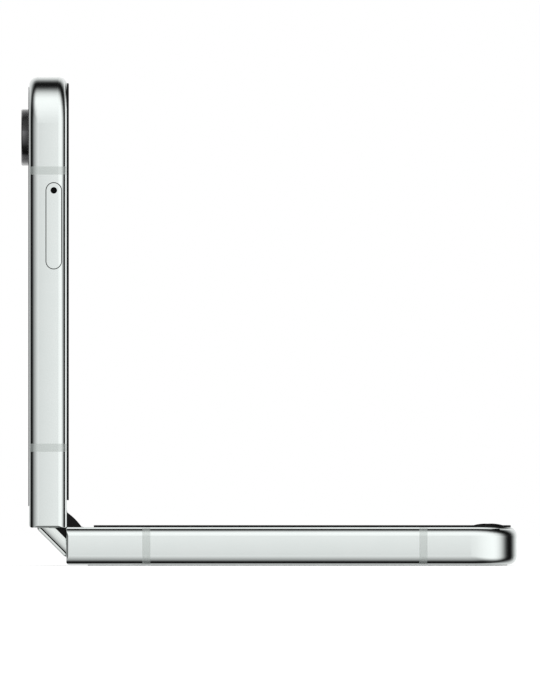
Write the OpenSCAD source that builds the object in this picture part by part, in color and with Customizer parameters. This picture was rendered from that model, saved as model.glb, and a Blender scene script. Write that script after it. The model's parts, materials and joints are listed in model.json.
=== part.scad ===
// Foldable phone of the clamshell kind, stood half open at a right angle.
// Each half is drawn flat: x runs from its hinge end to its free end, y across the
// width and z from the back glass up to the display. The lower half then lies on its
// back, the upper half is stood up by a mirror, and the hinge spine is turned by half
// the fold.

/* [Halves] */
// Length of each half, from its hinge end face to its free end
half_l = 82.4; // [80:0.1:88]
// Width of the phone across its side walls
phone_w = 71.9; // [70:0.1:78]
// Thickness of each half, from the back glass to the top of the frame
half_t = 7.1; // [7:0.1:7.8]
// Radius of the outer corners seen from above
corner_r = 8.5; // [7:0.1:10]
// Rounding of the outer edge towards the back
back_edge_r = 1.6; // [1.2:0.1:1.8]
// Rounding of the outer edge towards the display
front_edge_r = 1.6; // [1.4:0.1:1.7]
// Rounding of the upright edges at the hinge end
end_edge_r = 0.4; // [0.3:0.05:0.5]
// Thickness of the side walls around the component bay
side_wall = 1.3; // [1.2:0.05:1.5]
// Thickness of the wall at the free end
end_wall = 1.9; // [1.7:0.1:2.2]
// Thickness of the plate that carries the display
plate_t = 0.7; // [0.6:0.05:0.8]

/* [Glass and display] */
// Thickness of the back and cover glass
glass_t = 0.6; // [0.5:0.05:0.7]
// Height by which the back glass stands proud of the frame
glass_proud = 0.15; // [0.1:0.05:0.25]
// Distance of the back glass from the hinge end
glass_start = 3.95; // [3.8:0.05:4.5]
// Inset of the back glass from the outer edge
glass_inset = 1.63; // [1.6:0.01:1.9]
// Thickness of the display over each half
display_t = 0.6; // [0.5:0.05:0.7]
// Thickness of the display where it folds
fold_t = 0.35; // [0.3:0.05:0.4]
// Radius of the display's bend at a right angle
fold_r = 3.7; // [3.7:0.1:4.4]
// Inset of the display's surface below the frame's top
display_drop = 0.1; // [0.05:0.05:0.15]
// Height of the bezel above the frame's top
bezel_h = 0.3; // [0.2:0.05:0.4]
// Inset of the bezel from the outer edge
bezel_inset = 1.1; // [1:0.05:1.2]
// Width of the bezel
bezel_w = 1.5; // [1.4:0.1:1.9]
// Rounding of the bezel's outer edge
bezel_edge_r = 0.15; // [0.1:0.05:0.2]
// Distance of the bezel from the hinge end
bezel_start = 5.1; // [5:0.1:6]
// Length of a rubber bumper on the bezel
bumper_l = 4.2; // [3:0.1:5]
// Width of a rubber bumper
bumper_w = 1.1; // [0.9:0.1:1.3]
// Height of a rubber bumper above the bezel
bumper_h = 0.3; // [0.2:0.05:0.35]
// Distance of the bumpers from the free end
bumper_end = 4.8; // [4.6:0.1:6]

/* [Hinge] */
// Gap between the end faces of the halves when flat
flat_gap = 0.4; // [0.36:0.02:0.5]
// Gap between the two frames when closed
closed_gap = 1.1; // [1.06:0.02:1.3]
// Distance of each fold axis from the end face of its half
axis_in = 1.36; // [1.3:0.01:1.4]
// Height of the fold axes above the spine's outer face
axis_h = 4.3; // [4.26:0.01:4.4]
// Radius of the spine's flanks about the fold axes
spine_r = 4.68; // [4.6:0.01:4.72]
// Rounding of the spine's ends
spine_end_r = 0.55; // [0.4:0.05:0.6]
// Wall of the spine
spine_wall = 0.6; // [0.5:0.02:0.62]
// Height of the spine's flanks above its outer face
flank_h = 3.1; // [3.04:0.02:3.14]
// Height of the spine's end plates in the middle
end_plate_h = 2.45; // [2.3:0.05:2.6]
// Gap between the spine's flanks and the halves
spine_gap = 0.15; // [0.12:0.01:0.2]
// Thickness of the side walls beside the spine
hinge_cheek = 1.1; // [1:0.05:1.2]
// Height of the end caps above the spine's outer face
cap_h = 6.2; // [6:0.05:6.3]
// Radius of the end caps' crown
cap_crown_r = 10.5; // [9:0.5:14]
// Half the width of the end caps
cap_half_w = 3; // [2.8:0.05:3.1]
// Width of the end caps across the phone
cap_y = 2.3; // [2:0.1:2.6]
// Rounding of the frame's display edge at the hinge end
nose_r = 0.5; // [0.45:0.05:0.6]
// Rounding of the frame's back edge at the hinge end
heel_r = 0.55; // [0.4:0.05:0.7]
// Distance of each hinge unit from the middle of the phone
unit_y = 20; // [16:0.5:23]

/* [Hinge units] */
// Pitch radius of the timing gears
gear_r = 1.19; // [1.18:0.005:1.2]
// Teeth of each timing gear
gear_teeth = 12; // [12:12:12]
// Thickness of the timing gears
gear_w = 1.2; // [1:0.1:1.3]
// Play between the gear teeth
gear_play = 0.06; // [0.05:0.01:0.08]
// Radius of the gear shafts
shaft_r = 0.4; // [0.35:0.01:0.42]
// Inner radius of the curved rails on the arms
rail_in_r = 1.7; // [1.68:0.01:1.75]
// Outer radius of the curved rails on the arms
rail_out_r = 2.35; // [2.3:0.01:2.4]
// Width of the curved rails
rail_w = 2.6; // [2.2:0.1:3]
// Running clearance of the rails in their grooves
rail_play = 0.06; // [0.05:0.01:0.08]
// Thickness of an arm
arm_t = 0.95; // [0.85:0.05:1]
// Length of an arm's foot
foot_l = 4.6; // [4.4:0.1:4.8]

/* [Side fittings] */
// Width of the antenna bands
band_w = 1.48; // [1.2:0.02:1.8]
// Depth of the antenna bands in the wall
band_depth = 0.9; // [0.7:0.05:1]
// Distance of the outer antenna bands from the free end
band_end = 17.2; // [16:0.1:18]
// Distance of the inner antenna bands from the hinge end
band_start = 14.6; // [14:0.1:16]
// Length of the tray's face
tray_face_l = 15.66; // [15:0.02:16.5]
// Height of the tray's face
tray_face_h = 2.77; // [2.5:0.01:2.8]
// Distance of the tray's middle from the free end
tray_end = 27.3; // [27:0.1:29]
// Depth of the tray's card carrier
tray_depth = 13.5; // [12:0.5:14.5]
// Radius of the eject pin's hole
eject_r = 0.6; // [0.5:0.05:0.65]
// Length of the volume key
volume_l = 19.5; // [17:0.5:21]
// Distance of the volume key's middle from the free end
volume_end = 30.5; // [30:0.5:32]
// Length of the power key
power_l = 11.5; // [10:0.5:13]
// Distance of the power key's middle from the free end
power_end = 50; // [50:0.5:52]
// Height of the keys
key_h = 2.3; // [2:0.1:2.5]
// Height by which the keys stand proud of the side
key_proud = 0.4; // [0.3:0.05:0.5]
// Rounding of the keys' outer edge
key_edge_r = 0.2; // [0.1:0.05:0.25]
// Clearance round the keys and the tray
key_gap = 0.1; // [0.08:0.01:0.15]

/* [Cameras] */
// Outer radius of the camera rings
ring_r = 5.1; // [4.8:0.1:5.4]
// Height of the camera rings above the cover glass
ring_h = 1.36; // [1.2:0.02:1.6]
// Distance of the camera rings from the free end
ring_end = 10.3; // [10:0.1:11]
// Distance of the outer camera ring from the side
ring_side = 11; // [11:0.1:12]
// Distance between the two camera rings
ring_pitch = 13.6; // [12.5:0.1:14.5]

/* [Inside] */
// Gap between a battery and the board of its half
battery_gap = 2.2; // [1.6:0.1:4]
// Gap between the batteries and the side walls
battery_side = 2.5; // [2.4:0.1:4]
// Thickness of the boards
board_t = 0.7; // [0.6:0.05:0.8]
// Length of the lower board
lower_board_l = 17; // [16.5:0.5:18]
// Length of the main board
main_board_l = 41; // [40:0.5:41.5]
// Turns of the charging coil
coil_turns = 8; // [5:1:9]

/* [Hidden] */
$fn = 96;

// Amount by which a cut passes the face it opens
over = 1;
// Fitting gap of pieces that lie in a seat
fit = 0.05;
// Gap between the inner pieces and what carries them
seat = 0.1;

half_w = phone_w / 2;
rim_w = max(back_edge_r, front_edge_r);
rim_lap = 0.4;
back_z = glass_proud;

// Levels in a half, counted from the outer face of its glass
bay_z = glass_t + seat;
display_top = half_t - display_drop;
display_z = display_top - display_t;
plate_top = display_z - fit;
plate_z = plate_top - plate_t;
bezel_top = half_t + bezel_h;
// The bezel's foot stands in the frame, beside the display
bezel_foot_w = 0.55;
bezel_seat_z = display_top - 0.15;
display_inset = bezel_inset + bezel_foot_w;

// Fold axes in a half and in the spine
axis_down = axis_in + flat_gap / 2 - closed_gap / 2;
axis_z = half_t - axis_down;
axis_off = axis_in + flat_gap / 2;
cavity_r = spine_r + spine_gap;

// The spine turns by half of the right angle between the halves
rest_turn = 45;
lower_x = -half_l / 2;
spine_x = lower_x + axis_in - axis_off * cos(rest_turn);
spine_z = axis_z + axis_off * sin(rest_turn);
upper_x = spine_x - axis_off * cos(rest_turn) + axis_down - half_t;
upper_z = spine_z + axis_off * sin(rest_turn) - axis_in;

// Spine and its end caps
spine_half_l = half_w - hinge_cheek - spine_gap;
end_plate_t = 0.7;
end_plate_half = 1.65;
cap_in = spine_half_l - cap_y;

// Hinge wall of a frame, and the bay behind it
hinge_wall = 0.2;
foot_back = 0.8;
foot_x = axis_in + cavity_r + hinge_wall;
foot_end = foot_x + foot_l;
bay_x = foot_end + foot_back;
arm_top = -0.08;
arm_z = axis_z + arm_top - arm_t;

// Hinge unit: gears in the middle, a curved rail on either side
cheek_t = 1;
disc_t = 0.25;
gear_gap = 0.08;
gear_fit = 0.04;
bezel_corner = 0.2;
gear_room = gear_w / 2 + disc_t + 2 * gear_gap;
groove_y = gear_room + cheek_t;
rail_y = groove_y + rail_play;
unit_wall = 0.6;
unit_end = groove_y + rail_w + 2 * rail_play + unit_wall;
idler_x = gear_r;
idler_dz = sqrt(4 * gear_r * gear_r - (axis_off - gear_r) * (axis_off - gear_r));
idler_z = axis_h - idler_dz;
idler_dir = atan2(idler_dz, axis_off - idler_x);
tooth_step = 360 / gear_teeth;
gear_module = 2 * gear_r / gear_teeth;
tip_out = 0.72 * gear_module;
root_in = 0.98 * gear_module;
flank_angle = 24;
// Teeth stand in mesh at rest: a tooth of the lower idler faces a gap of the upper one
lower_idler_phase = 180;
upper_idler_phase = tooth_step / 2;
lower_arm_phase = 180 + idler_dir - (90 - idler_dir) + tooth_step / 2 - rest_turn;
upper_arm_lead = 105 - (180 - idler_dir);
upper_arm_phase = 180 - (360 - idler_dir - upper_arm_lead + tooth_step / 2) - rest_turn;

// Middle line and size of the keys and the tray in the wall
key_z = (half_t + back_z) / 2;
tray_x = half_l - tray_end;
tray_down = 2.45;
tray_z = half_t - tray_down;
volume_x = half_l - volume_end;
power_x = half_l - power_end;
key_slack = 0.3;
key_back = half_w - side_wall - key_slack;
key_flange = 0.4;
key_lip = 0.5;
switch_gap = 0.35;

bay_end = half_l - end_wall;
bay_half = half_w - side_wall;
ring_x = half_l - ring_end;
ring_ys = [half_w - ring_side, half_w - ring_side - ring_pitch];
window_down = 0.12;
window_z = window_down - ring_h;
window_t = 0.4;
window_seat_r = ring_r - 1;
ring_seat = 0.5;
camera_half = 4.3;
glue_t = 0.02;
flash_pitch = 9.6;
flash_y = ring_ys[1] - flash_pitch;
flash_r = 1.9;
front_cam_end = 6.6;
front_cam_x = half_l - front_cam_end;
front_cam_r = 1.75;
front_cam_half = 3;
earpiece_l = 12;
earpiece_w = 5.6;
earpiece_h = 2.2;
earpiece_gap = 2;
earpiece_y = -front_cam_half - earpiece_gap - earpiece_l;

// Boards at the free ends, and the batteries in what is left of the bays
board_z = plate_z - 0.5 - board_t;
board_end = 1;
board_half = bay_half - 2.4;
lower_board_half = bay_half - 2;
lower_board_x = bay_end - board_end - lower_board_l;
main_board_x = bay_end - board_end - main_board_l;
part_gap = 0.3;
battery_x = bay_x + 0.5;
battery_half = bay_half - battery_side;
lower_battery_l = lower_board_x - battery_gap - battery_x;
upper_battery_l = main_board_x - battery_gap - battery_x;

frame_c = [0.86, 0.89, 0.87];
mint_c = [0.77, 0.83, 0.81];
glass_c = [0.07, 0.07, 0.08];
black_c = [0.06, 0.06, 0.06];
band_c = [0.62, 0.66, 0.64];
steel_c = [0.62, 0.63, 0.65];
board_c = [0.08, 0.24, 0.18];
brass_c = [0.8, 0.66, 0.35];

// Places a piece drawn in a half or in the spine
module on_lower() translate([lower_x, 0, 0]) children();

module on_upper() translate([upper_x, 0, upper_z]) mirror([1, 0, -1]) children();

module on_spine() {
    translate([spine_x, 0, spine_z]) rotate([0, rest_turn, 0])
        translate([0, 0, -axis_h]) children();
}

// Draws a piece at both ends of the spine, or in both hinge units
module both_sides() {
    children();
    mirror([0, 1, 0]) children();
}

// Extrudes an x-z profile across the phone from y0 to y1
module across(y0, y1) translate([0, y1, 0]) rotate([90, 0, 0]) linear_extrude(y1 - y0) children();

// Box given by its lowest and highest corners
module block(low, high) translate(low) cube(high - low);

// Upright pin from z0 to z1
module pin(x, y, z0, z1, r) translate([x, y, z0]) cylinder(h = z1 - z0, r = r);

// Pin lying across the phone from y0 to y1
module cross_pin(x, z, y0, y1, r) translate([x, y0, z]) rotate([-90, 0, 0]) cylinder(h = y1 - y0, r = r);

// Oblong with full-round ends, its length along x
module oblong(l, w) {
    square([l - w, w], center = true);
    for (s = [-1, 1]) translate([s * (l - w) / 2, 0]) circle(w / 2);
}

// Oblong opening or plug in a side wall, from y0 to y1
module side_oblong(x, z, l, h, y0, y1) across(y0, y1) translate([x, z]) oblong(l, h);

// What a corner loses when it is rounded: corner at the origin, body up and to the left
module corner_loss(r) {
    difference() {
        translate([-r, -over]) square([r + over, r + over]);
        translate([-r, r]) circle(r);
    }
}

// Outline of a half seen from above, inset at the sides and the free end
module outline(inset, x0, r0 = 0.6) {
    y = half_w - inset;
    x1 = half_l - corner_r;
    translate([x0, r0 - y]) square([x1 - x0, 2 * (y - r0)]);
    translate([x0 + r0, -y]) square([x1 - x0 - r0, 2 * y]);
    translate([x1, corner_r - half_w]) square([corner_r - inset, 2 * (half_w - corner_r)]);
    for (s = [-1, 1]) {
        translate([x0 + r0, s * (y - r0)]) circle(r0);
        translate([x1, s * (half_w - corner_r)]) circle(corner_r - inset);
    }
}

// Sweeps a profile round the sides, the corners and the free end of a half. The
// profile's x = 0 runs at the given inset from the outer edge
module sweep_round(inset) {
    x1 = half_l - corner_r;
    y1 = half_w - corner_r;
    both_sides() {
        translate([0, half_w - inset, 0]) rotate([90, 0, 90]) linear_extrude(x1) children();
        translate([x1, y1, 0]) rotate_extrude(angle = 90) translate([corner_r - inset, 0]) children();
    }
    translate([half_l - inset, y1, 0]) rotate([90, 0, 0]) linear_extrude(2 * y1) children();
}

// Section of the rim, its outer face at x = 0. It laps over the core
module rim_section() {
    difference() {
        translate([-rim_w - rim_lap, back_z]) square([rim_w + rim_lap, half_t - back_z]);
        translate([0, back_z]) corner_loss(back_edge_r);
        translate([0, half_t]) mirror([0, 1]) corner_loss(front_edge_r);
    }
}

// Full body of a half, before anything is cut from it: the rim is swept round a core
module half_body() {
    x1 = half_l - corner_r;
    y1 = half_w - corner_r;
    difference() {
        union() {
            translate([0, 0, back_z]) linear_extrude(half_t - back_z) {
                translate([0, rim_w - half_w]) square([x1, 2 * (half_w - rim_w)]);
                translate([x1, -y1]) square([corner_r - rim_w, 2 * y1]);
                for (s = [-1, 1]) translate([x1, s * y1]) circle(corner_r - rim_w);
            }
            sweep_round(0) rim_section();
        }
        across(-half_w - over, half_w + over) {
            translate([0, back_z]) mirror([1, 0]) corner_loss(heel_r);
            translate([0, half_t]) mirror([0, 1]) mirror([1, 0]) corner_loss(nose_r);
        }
        both_sides() translate([0, half_w, -over]) linear_extrude(half_t + 2 * over)
            mirror([1, 0]) mirror([0, 1]) corner_loss(end_edge_r);
    }
}

// Places of the antenna bands along a half
band_xs = [band_start, half_l - band_end];

module band_boxes(depth) {
    both_sides() for (x = band_xs)
        block([x - band_w / 2, half_w - depth, -over],
              [x + band_w / 2, half_w + over, half_t + over]);
}

// Frame of a half, with what both halves have in common
module half_frame() {
    difference() {
        half_body();
        // Seat of the back glass, and the component bay above it
        translate([0, 0, -over]) linear_extrude(glass_t + over)
            outline(glass_inset - fit, glass_start - fit);
        translate([0, 0, -over]) linear_extrude(plate_z + over) outline(side_wall, bay_x);
        // Seat of the bezel's foot, and of the display inside it
        translate([0, 0, bezel_seat_z]) linear_extrude(half_t)
            outline(bezel_inset - fit, bezel_start - fit, bezel_corner);
        translate([0, 0, plate_top]) linear_extrude(half_t) outline(display_inset, -over);
        // Room for the spine: a cylinder about the fold axis, open to the end and the top
        across(hinge_cheek - half_w, half_w - hinge_cheek) {
            translate([axis_in, axis_z]) circle(cavity_r);
            translate([-over, axis_z]) square([over + bezel_start - fit, half_t]);
        }
        // Pockets of the arms' feet, open to the cylinder
        foot_pockets();
        for (x = foot_screw_xs, y = foot_screw_ys)
            pin(x, y, arm_z - foot_screw_l - 2 * seat, arm_z + over, tapped_r);
        band_boxes(band_depth);
    }
}

foot_in = 0.2;
foot_half = unit_end - foot_in;

// Screws, their tapped holes and bosses
screw_r = 0.35;
tapped_r = 0.4;
screw_hole_r = 0.45;
boss_r = 1.3;
screw_head_h = 0.5;
board_head_r = 1;
foot_head_r = 0.75;
foot_screw_in = 1.5;
foot_screw_l = 2;
foot_screw_xs = [foot_x + foot_l / 2];
foot_screw_ys = [for (s = [-1, 1], t = [-1, 1]) s * unit_y + t * (foot_half - foot_screw_in)];

module foot_pockets() {
    both_sides() block([axis_in, unit_y - foot_half - seat, arm_z],
                       [foot_end + seat, unit_y + foot_half + seat, half_t]);
}

// Bosses for the boards' screws, and the screws
module bosses(places, z) {
    for (p = places) difference() {
        pin(p[0], p[1], z, plate_z + fit, boss_r);
        pin(p[0], p[1], z - over, plate_z + over, tapped_r);
    }
}

// Screw with its head towards the back and its thread up in a boss
module board_screw(p, z) {
    pin(p[0], p[1], z - board_t - screw_head_h, z - board_t, board_head_r);
    pin(p[0], p[1], z - board_t - fit, plate_z - seat, screw_r);
}

// Screw that holds an arm's foot, its head under the display
module foot_screws() {
    for (x = foot_screw_xs, y = foot_screw_ys) {
        pin(x, y, arm_z - foot_screw_l, arm_z + arm_t, screw_r);
        pin(x, y, arm_z + arm_t, plate_top - fit, foot_head_r);
    }
}

// Open frame of a given width, as far from the outer edge as the bezel
module bezel_outline(w) {
    difference() {
        outline(bezel_inset, bezel_start, bezel_corner);
        outline(bezel_inset + w, bezel_start - over);
    }
}

// Bezel round three sides of a half: it laps over the display, and its foot stands beside it
module half_bezel() {
    difference() {
        union() {
            translate([0, 0, display_top]) linear_extrude(bezel_top - display_top) bezel_outline(bezel_w);
            translate([0, 0, bezel_seat_z]) linear_extrude(bezel_top - bezel_seat_z)
                bezel_outline(bezel_foot_w);
        }
        sweep_round(bezel_inset) translate([0, bezel_top]) mirror([0, 1]) corner_loss(bezel_edge_r);
    }
}

// Display over one half, to where its bend starts
module half_display() {
    translate([0, 0, display_z]) linear_extrude(display_t)
        outline(display_inset + fit, fold_end_x(), 0.01);
}

// Distance from a half's end face at which the bend of the display starts
function fold_end_x() = fold_r + axis_in + axis_down - 2 * axis_off * cos(rest_turn) - display_drop;

module antenna_bands() {
    intersection() {
        half_body();
        band_boxes(band_depth);
    }
}

// Back glass with a rounded outer edge
module half_glass() {
    edge_r = 0.35;
    difference() {
        linear_extrude(glass_t) outline(glass_inset, glass_start);
        sweep_round(glass_inset) corner_loss(min(edge_r, glass_t - seat));
    }
}

// Timing gear as a profile of straight-flanked teeth
module gear_profile(phase) {
    half_p = PI * gear_module / 4 - gear_play / 2;
    tip_w = half_p - tip_out * tan(flank_angle);
    root_w = half_p + root_in * tan(flank_angle);
    polygon([for (i = [0 : gear_teeth - 1], q = [[-1, 0], [-1, 1], [1, 1], [1, 0]])
        let (a = phase + i * tooth_step,
             r = q[1] == 1 ? gear_r + tip_out : gear_r - root_in,
             w = q[0] * (q[1] == 1 ? tip_w : root_w))
        [r * cos(a) - w * sin(a), r * sin(a) + w * cos(a)]]);
}

// Pie slice between two directions, wider than any gear or rail
module slice(a0, a1) {
    far = 20;
    steps = ceil((a1 - a0) / 60);
    polygon(concat([[0, 0]], [for (i = [0 : steps])
        let (a = a0 + (a1 - a0) * i / steps) [far * cos(a), far * sin(a)]]));
}

// Arm of one half in one hinge unit. Its curved rail and toothed sector turn about the
// fold axis, which stays bare, and its foot is screwed to the frame
module hinge_arm(phase) {
    gear_half = gear_w / 2;
    rail_a0 = -130;
    rail_a1 = -24;
    // The sector reaches past the idler at both ends of the fold, and its top stays under the display
    sector_mid = idler_dir - 180 - rest_turn;
    sector_a0 = sector_mid - 62;
    sector_a1 = sector_mid + 60;
    sector_top = 0.4;
    web_start = 0.3;
    rail_end = rail_y + rail_w;
    translate([axis_in, 0, axis_z]) {
        across(rail_y, rail_end) difference() {
            intersection() {
                circle(rail_out_r);
                slice(rail_a0, rail_a1);
            }
            circle(rail_in_r);
        }
        across(-gear_half, gear_half) difference() {
            union() {
                intersection() {
                    gear_profile(phase);
                    slice(sector_a0, sector_a1);
                }
                circle(gear_r - root_in);
                translate([web_start, arm_top - arm_t]) square([rail_in_r, arm_t]);
            }
            translate([-gear_r - over, sector_top]) square([2 * (gear_r + over), gear_r + over]);
        }
    }
    block([axis_in + rail_in_r, -gear_half, arm_z], [foot_x + fit, rail_end, arm_z + arm_t]);
    difference() {
        block([foot_x, -foot_half, arm_z], [foot_end, foot_half, arm_z + arm_t]);
        for (t = [-1, 1])
            pin(foot_screw_xs[0], t * (foot_half - foot_screw_in), arm_z - over, arm_z + 2 * arm_t,
                tapped_r);
    }
}

module in_units() for (s = [-1, 1]) translate([0, s * unit_y, 0]) children();

module lower_frame() {
    color(frame_c) on_lower() {
        difference() {
            half_frame();
            // Port, loudspeaker slots and microphone hole in the free end
            translate([0, port_y, port_z]) rotate([90, 0, 90]) linear_extrude(half_l + over)
                oblong(port_l + 2 * fit, port_h + 2 * fit);
            for (y = sound_ys) translate([bay_end - over, y, port_z]) rotate([90, 0, 90])
                linear_extrude(end_wall + 2 * over) oblong(sound_l, sound_h);
            translate([bay_end - over, mic_y, port_z]) rotate([0, 90, 0])
                cylinder(h = end_wall + 2 * over, r = mic_r);
        }
        bosses(lower_boss_at, board_z + board_t);
    }
}

port_l = 8.94;
port_h = 3.26;
port_wall = 0.3;
port_depth = 7.4;
port_y = 0;
port_z = key_z;
sound_l = 2.3;
sound_h = 1.1;
sound_pitch = 3.4;
sound_count = 5;
speaker_l = 12;
speaker_w = 18.5;
speaker_side = 7.55;
speaker_x = bay_end - speaker_l - seat;
speaker_y = bay_half - speaker_side - speaker_w;
sound_start = 1.9;
sound_ys = [for (i = [0 : sound_count - 1]) speaker_y + sound_start + i * sound_pitch];
mic_pitch = 4.5;
mic_y = -port_l / 2 - mic_pitch;
mic_r = 0.5;
lower_boss_at = [for (s = [-1, 1]) [lower_board_x + 2.4, s * (bay_half - 5)]];

module lower_back_glass() color(mint_c) on_lower() half_glass();

module lower_bezel() color(black_c) on_lower() half_bezel();

module bezel_bumpers() {
    crown_r = (bumper_l * bumper_l / 4 + bumper_h * bumper_h) / (2 * bumper_h);
    x = half_l - bumper_end;
    y = half_w - bezel_inset - bezel_w / 2;
    color("black") on_lower() both_sides() intersection() {
        translate([x, bumper_y(x), bezel_top]) linear_extrude(bumper_h) oblong(bumper_l, bumper_w);
        cross_pin(x, bezel_top + bumper_h - crown_r, 0, half_w, crown_r, $fn = 360);
    }
}

// Distance of the bezel's middle line from the centre line at a place x along a half
function bumper_y(x) = half_w - corner_r + sqrt(pow(corner_r - bezel_inset - bezel_w / 2, 2)
    - pow(max(0, x - half_l + corner_r), 2));

module display_lower() color(glass_c) on_lower() half_display();

module lower_antenna_bands() color(band_c) on_lower() antenna_bands();

// Flat cell with the sealed edge that carries its protection board
module battery(x, l, y, z) {
    edge_l = 3;
    edge_t = 1.6;
    edge_in = 1.5;
    top = plate_z - seat;
    block([x, -y, z], [x + l - edge_l, y, top]);
    block([x + l - edge_l, edge_in - y, top - edge_t], [x + l, y - edge_in, top]);
}

module lower_battery() {
    z = bay_z + coil_t + sheet_t + seat;
    color([0.2, 0.2, 0.22]) on_lower() battery(battery_x, lower_battery_l, battery_half, z);
}

coil_t = 0.3;
sheet_t = 0.15;
coil_pitch = 1.2;
coil_wire = 0.7;
coil_in_r = 8;

// Charging coil: a flat spiral of half rings whose centres change sides, on its sheet
module charging_coil() {
    x = battery_x + lower_battery_l / 2;
    r_out = coil_in_r + coil_turns * coil_pitch + coil_wire;
    color(brass_c) on_lower() translate([x, 0, bay_z]) {
        linear_extrude(coil_t) for (i = [0 : 2 * coil_turns - 1]) {
            r = coil_in_r + i * coil_pitch / 2;
            side = i % 2 == 0 ? 1 : -1;
            translate([side * coil_pitch / 4 + coil_pitch / 4, 0]) intersection() {
                difference() {
                    circle(r + coil_wire);
                    circle(r);
                }
                translate([-2 * r_out, side > 0 ? 0 : -2 * r_out]) square([4 * r_out, 2 * r_out]);
            }
        }
        translate([-r_out, -r_out, coil_t]) cube([2 * r_out, 2 * r_out, sheet_t]);
    }
}

module lower_board() {
    x0 = lower_board_x;
    x1 = x0 + lower_board_l;
    y = lower_board_half;
    port_half = port_l / 2 + part_gap;
    socket = [2.5, 14, 0.8];
    capacitor = [1.1, 0.8, 0.5];
    capacitor_pitch = 2.2;
    capacitor_count = 5;
    color(board_c) on_lower() {
        difference() {
            block([x0, -y, board_z], [x1, y, board_z + board_t]);
            // Room for the port, the loudspeaker and the vibration motor
            block([port_x - part_gap, port_y - port_half, 0], [x1 + over, port_y + port_half, half_t]);
            block([speaker_x - part_gap, speaker_y - part_gap, 0], [x1 + over, y + over, half_t]);
            block([motor_x - motor_r - part_gap, -y - over, 0],
                  [x1 + over, motor_y + motor_r + part_gap, half_t]);
            for (p = lower_boss_at) pin(p[0], p[1], 0, half_t, screw_hole_r);
        }
        // Flat-cable socket and a few capacitors on the back of the board
        translate([x0 + 1.5, -socket.y / 2, board_z - socket.z]) cube(socket);
        for (i = [0 : capacitor_count - 1])
            translate([x0 + 5.5, (i - capacitor_count + 1) * capacitor_pitch, board_z - capacitor.z])
                cube(capacitor);
    }
}

port_in = 0.35;
port_x = half_l - port_in - port_depth;

// Shell of the port, closed at the back, with the tongue that carries its contacts
module usb_port() {
    tongue = [5.8, 6.7, 0.7];
    back_t = 0.8;
    color(steel_c) on_lower() translate([port_x, port_y, port_z]) {
        rotate([90, 0, 90]) difference() {
            linear_extrude(port_depth) oblong(port_l, port_h);
            translate([0, 0, back_t]) linear_extrude(port_depth)
                oblong(port_l - 2 * port_wall, port_h - 2 * port_wall);
        }
        translate([back_t / 2, -tongue.y / 2, -tongue.z / 2]) cube(tongue);
    }
}

// Loudspeaker box with its diaphragm in a stepped frame
module loudspeaker() {
    z0 = bay_z + part_gap;
    z1 = plate_z - seat;
    mouth = [12, 7.5, 0.5];
    duct = 1.2;
    color([0.16, 0.16, 0.17]) on_lower() difference() {
        intersection() {
            block([speaker_x, speaker_y, z0], [speaker_x + speaker_l, speaker_y + speaker_w, z1]);
            linear_extrude(half_t) outline(side_wall + part_gap, bay_x);
        }
        translate([speaker_x + speaker_l / 2 - 0.5, speaker_y + 8.5, z0 - over])
            linear_extrude(over + mouth.z) oblong_y(mouth.x, mouth.y);
        for (y = sound_ys) translate([speaker_x + speaker_l - duct, y, port_z]) rotate([90, 0, 90])
            linear_extrude(over + duct) oblong(sound_l, sound_h);
    }
}

module oblong_y(l, w) rotate(90) oblong(l, w);

motor_r = 4.5;
motor_t = 3.2;
motor_side = 14.65;
motor_x = bay_end - motor_r - 3;
motor_y = motor_side - bay_half;

module vibration_motor() {
    z1 = plate_z - seat;
    hub_r = 1.2;
    hub_h = 0.2;
    color(steel_c) on_lower() {
        pin(motor_x, motor_y, z1 - motor_t, z1, motor_r);
        pin(motor_x, motor_y, z1 - motor_t - hub_h, z1 - motor_t + fit, hub_r);
    }
}

module microphone() {
    x1 = bay_end - seat;
    can = [2.8, 3.4, 0.9];
    throat = 0.5;
    color(steel_c) on_lower() difference() {
        block([x1 - can.x, mic_y - can.y / 2, port_z - can.z], [x1, mic_y + can.y / 2, board_z - fit]);
        translate([x1 - throat, mic_y, port_z]) rotate([0, 90, 0]) cylinder(h = over, r = mic_r);
    }
}

module lower_hinge_arms() color(steel_c) on_lower() in_units() hinge_arm(lower_arm_phase);

module lower_screws() {
    color("silver") on_lower() {
        foot_screws();
        for (p = lower_boss_at) board_screw(p, board_z + board_t);
    }
}

// Flanks of the spine, which turn about the two fold axes
module spine_flanks(inset) {
    for (s = [-1, 1]) translate([s * axis_off, axis_h]) circle(spine_r - inset);
}

// Profile of the spine between two heights, inset from its flanks
module spine_shape(inset, floor_z, top) {
    intersection() {
        spine_flanks(inset);
        translate([-2 * spine_r, floor_z]) square([4 * spine_r, top - floor_z]);
    }
}

// What the rounding of the spine's ends takes away, along its floor and round both flanks
module spine_end_loss() {
    reach = 2 * spine_r;
    both_sides() {
        translate([-reach, 0, 0]) rotate([90, 0, 90]) linear_extrude(2 * reach)
            translate([spine_half_l, 0]) corner_loss(spine_end_r);
        for (s = [0, 1]) mirror([s, 0, 0]) translate([axis_off, 0, axis_h]) rotate([-90, 0, 0])
            rotate_extrude(angle = 90) translate([spine_r, spine_half_l])
                mirror([0, 1]) corner_loss(spine_end_r);
    }
}

module hinge_spine() {
    y_in = spine_half_l - end_plate_t;
    color(frame_c) on_spine() {
        difference() {
            across(-spine_half_l, spine_half_l) spine_shape(0, 0, flank_h);
            across(-y_in, y_in) spine_shape(spine_wall, spine_wall, flank_h + over);
            across(-spine_half_l - over, spine_half_l + over)
                translate([-end_plate_half, end_plate_h]) square([2 * end_plate_half, over]);
            spine_end_loss();
        }
    }
}

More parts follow.
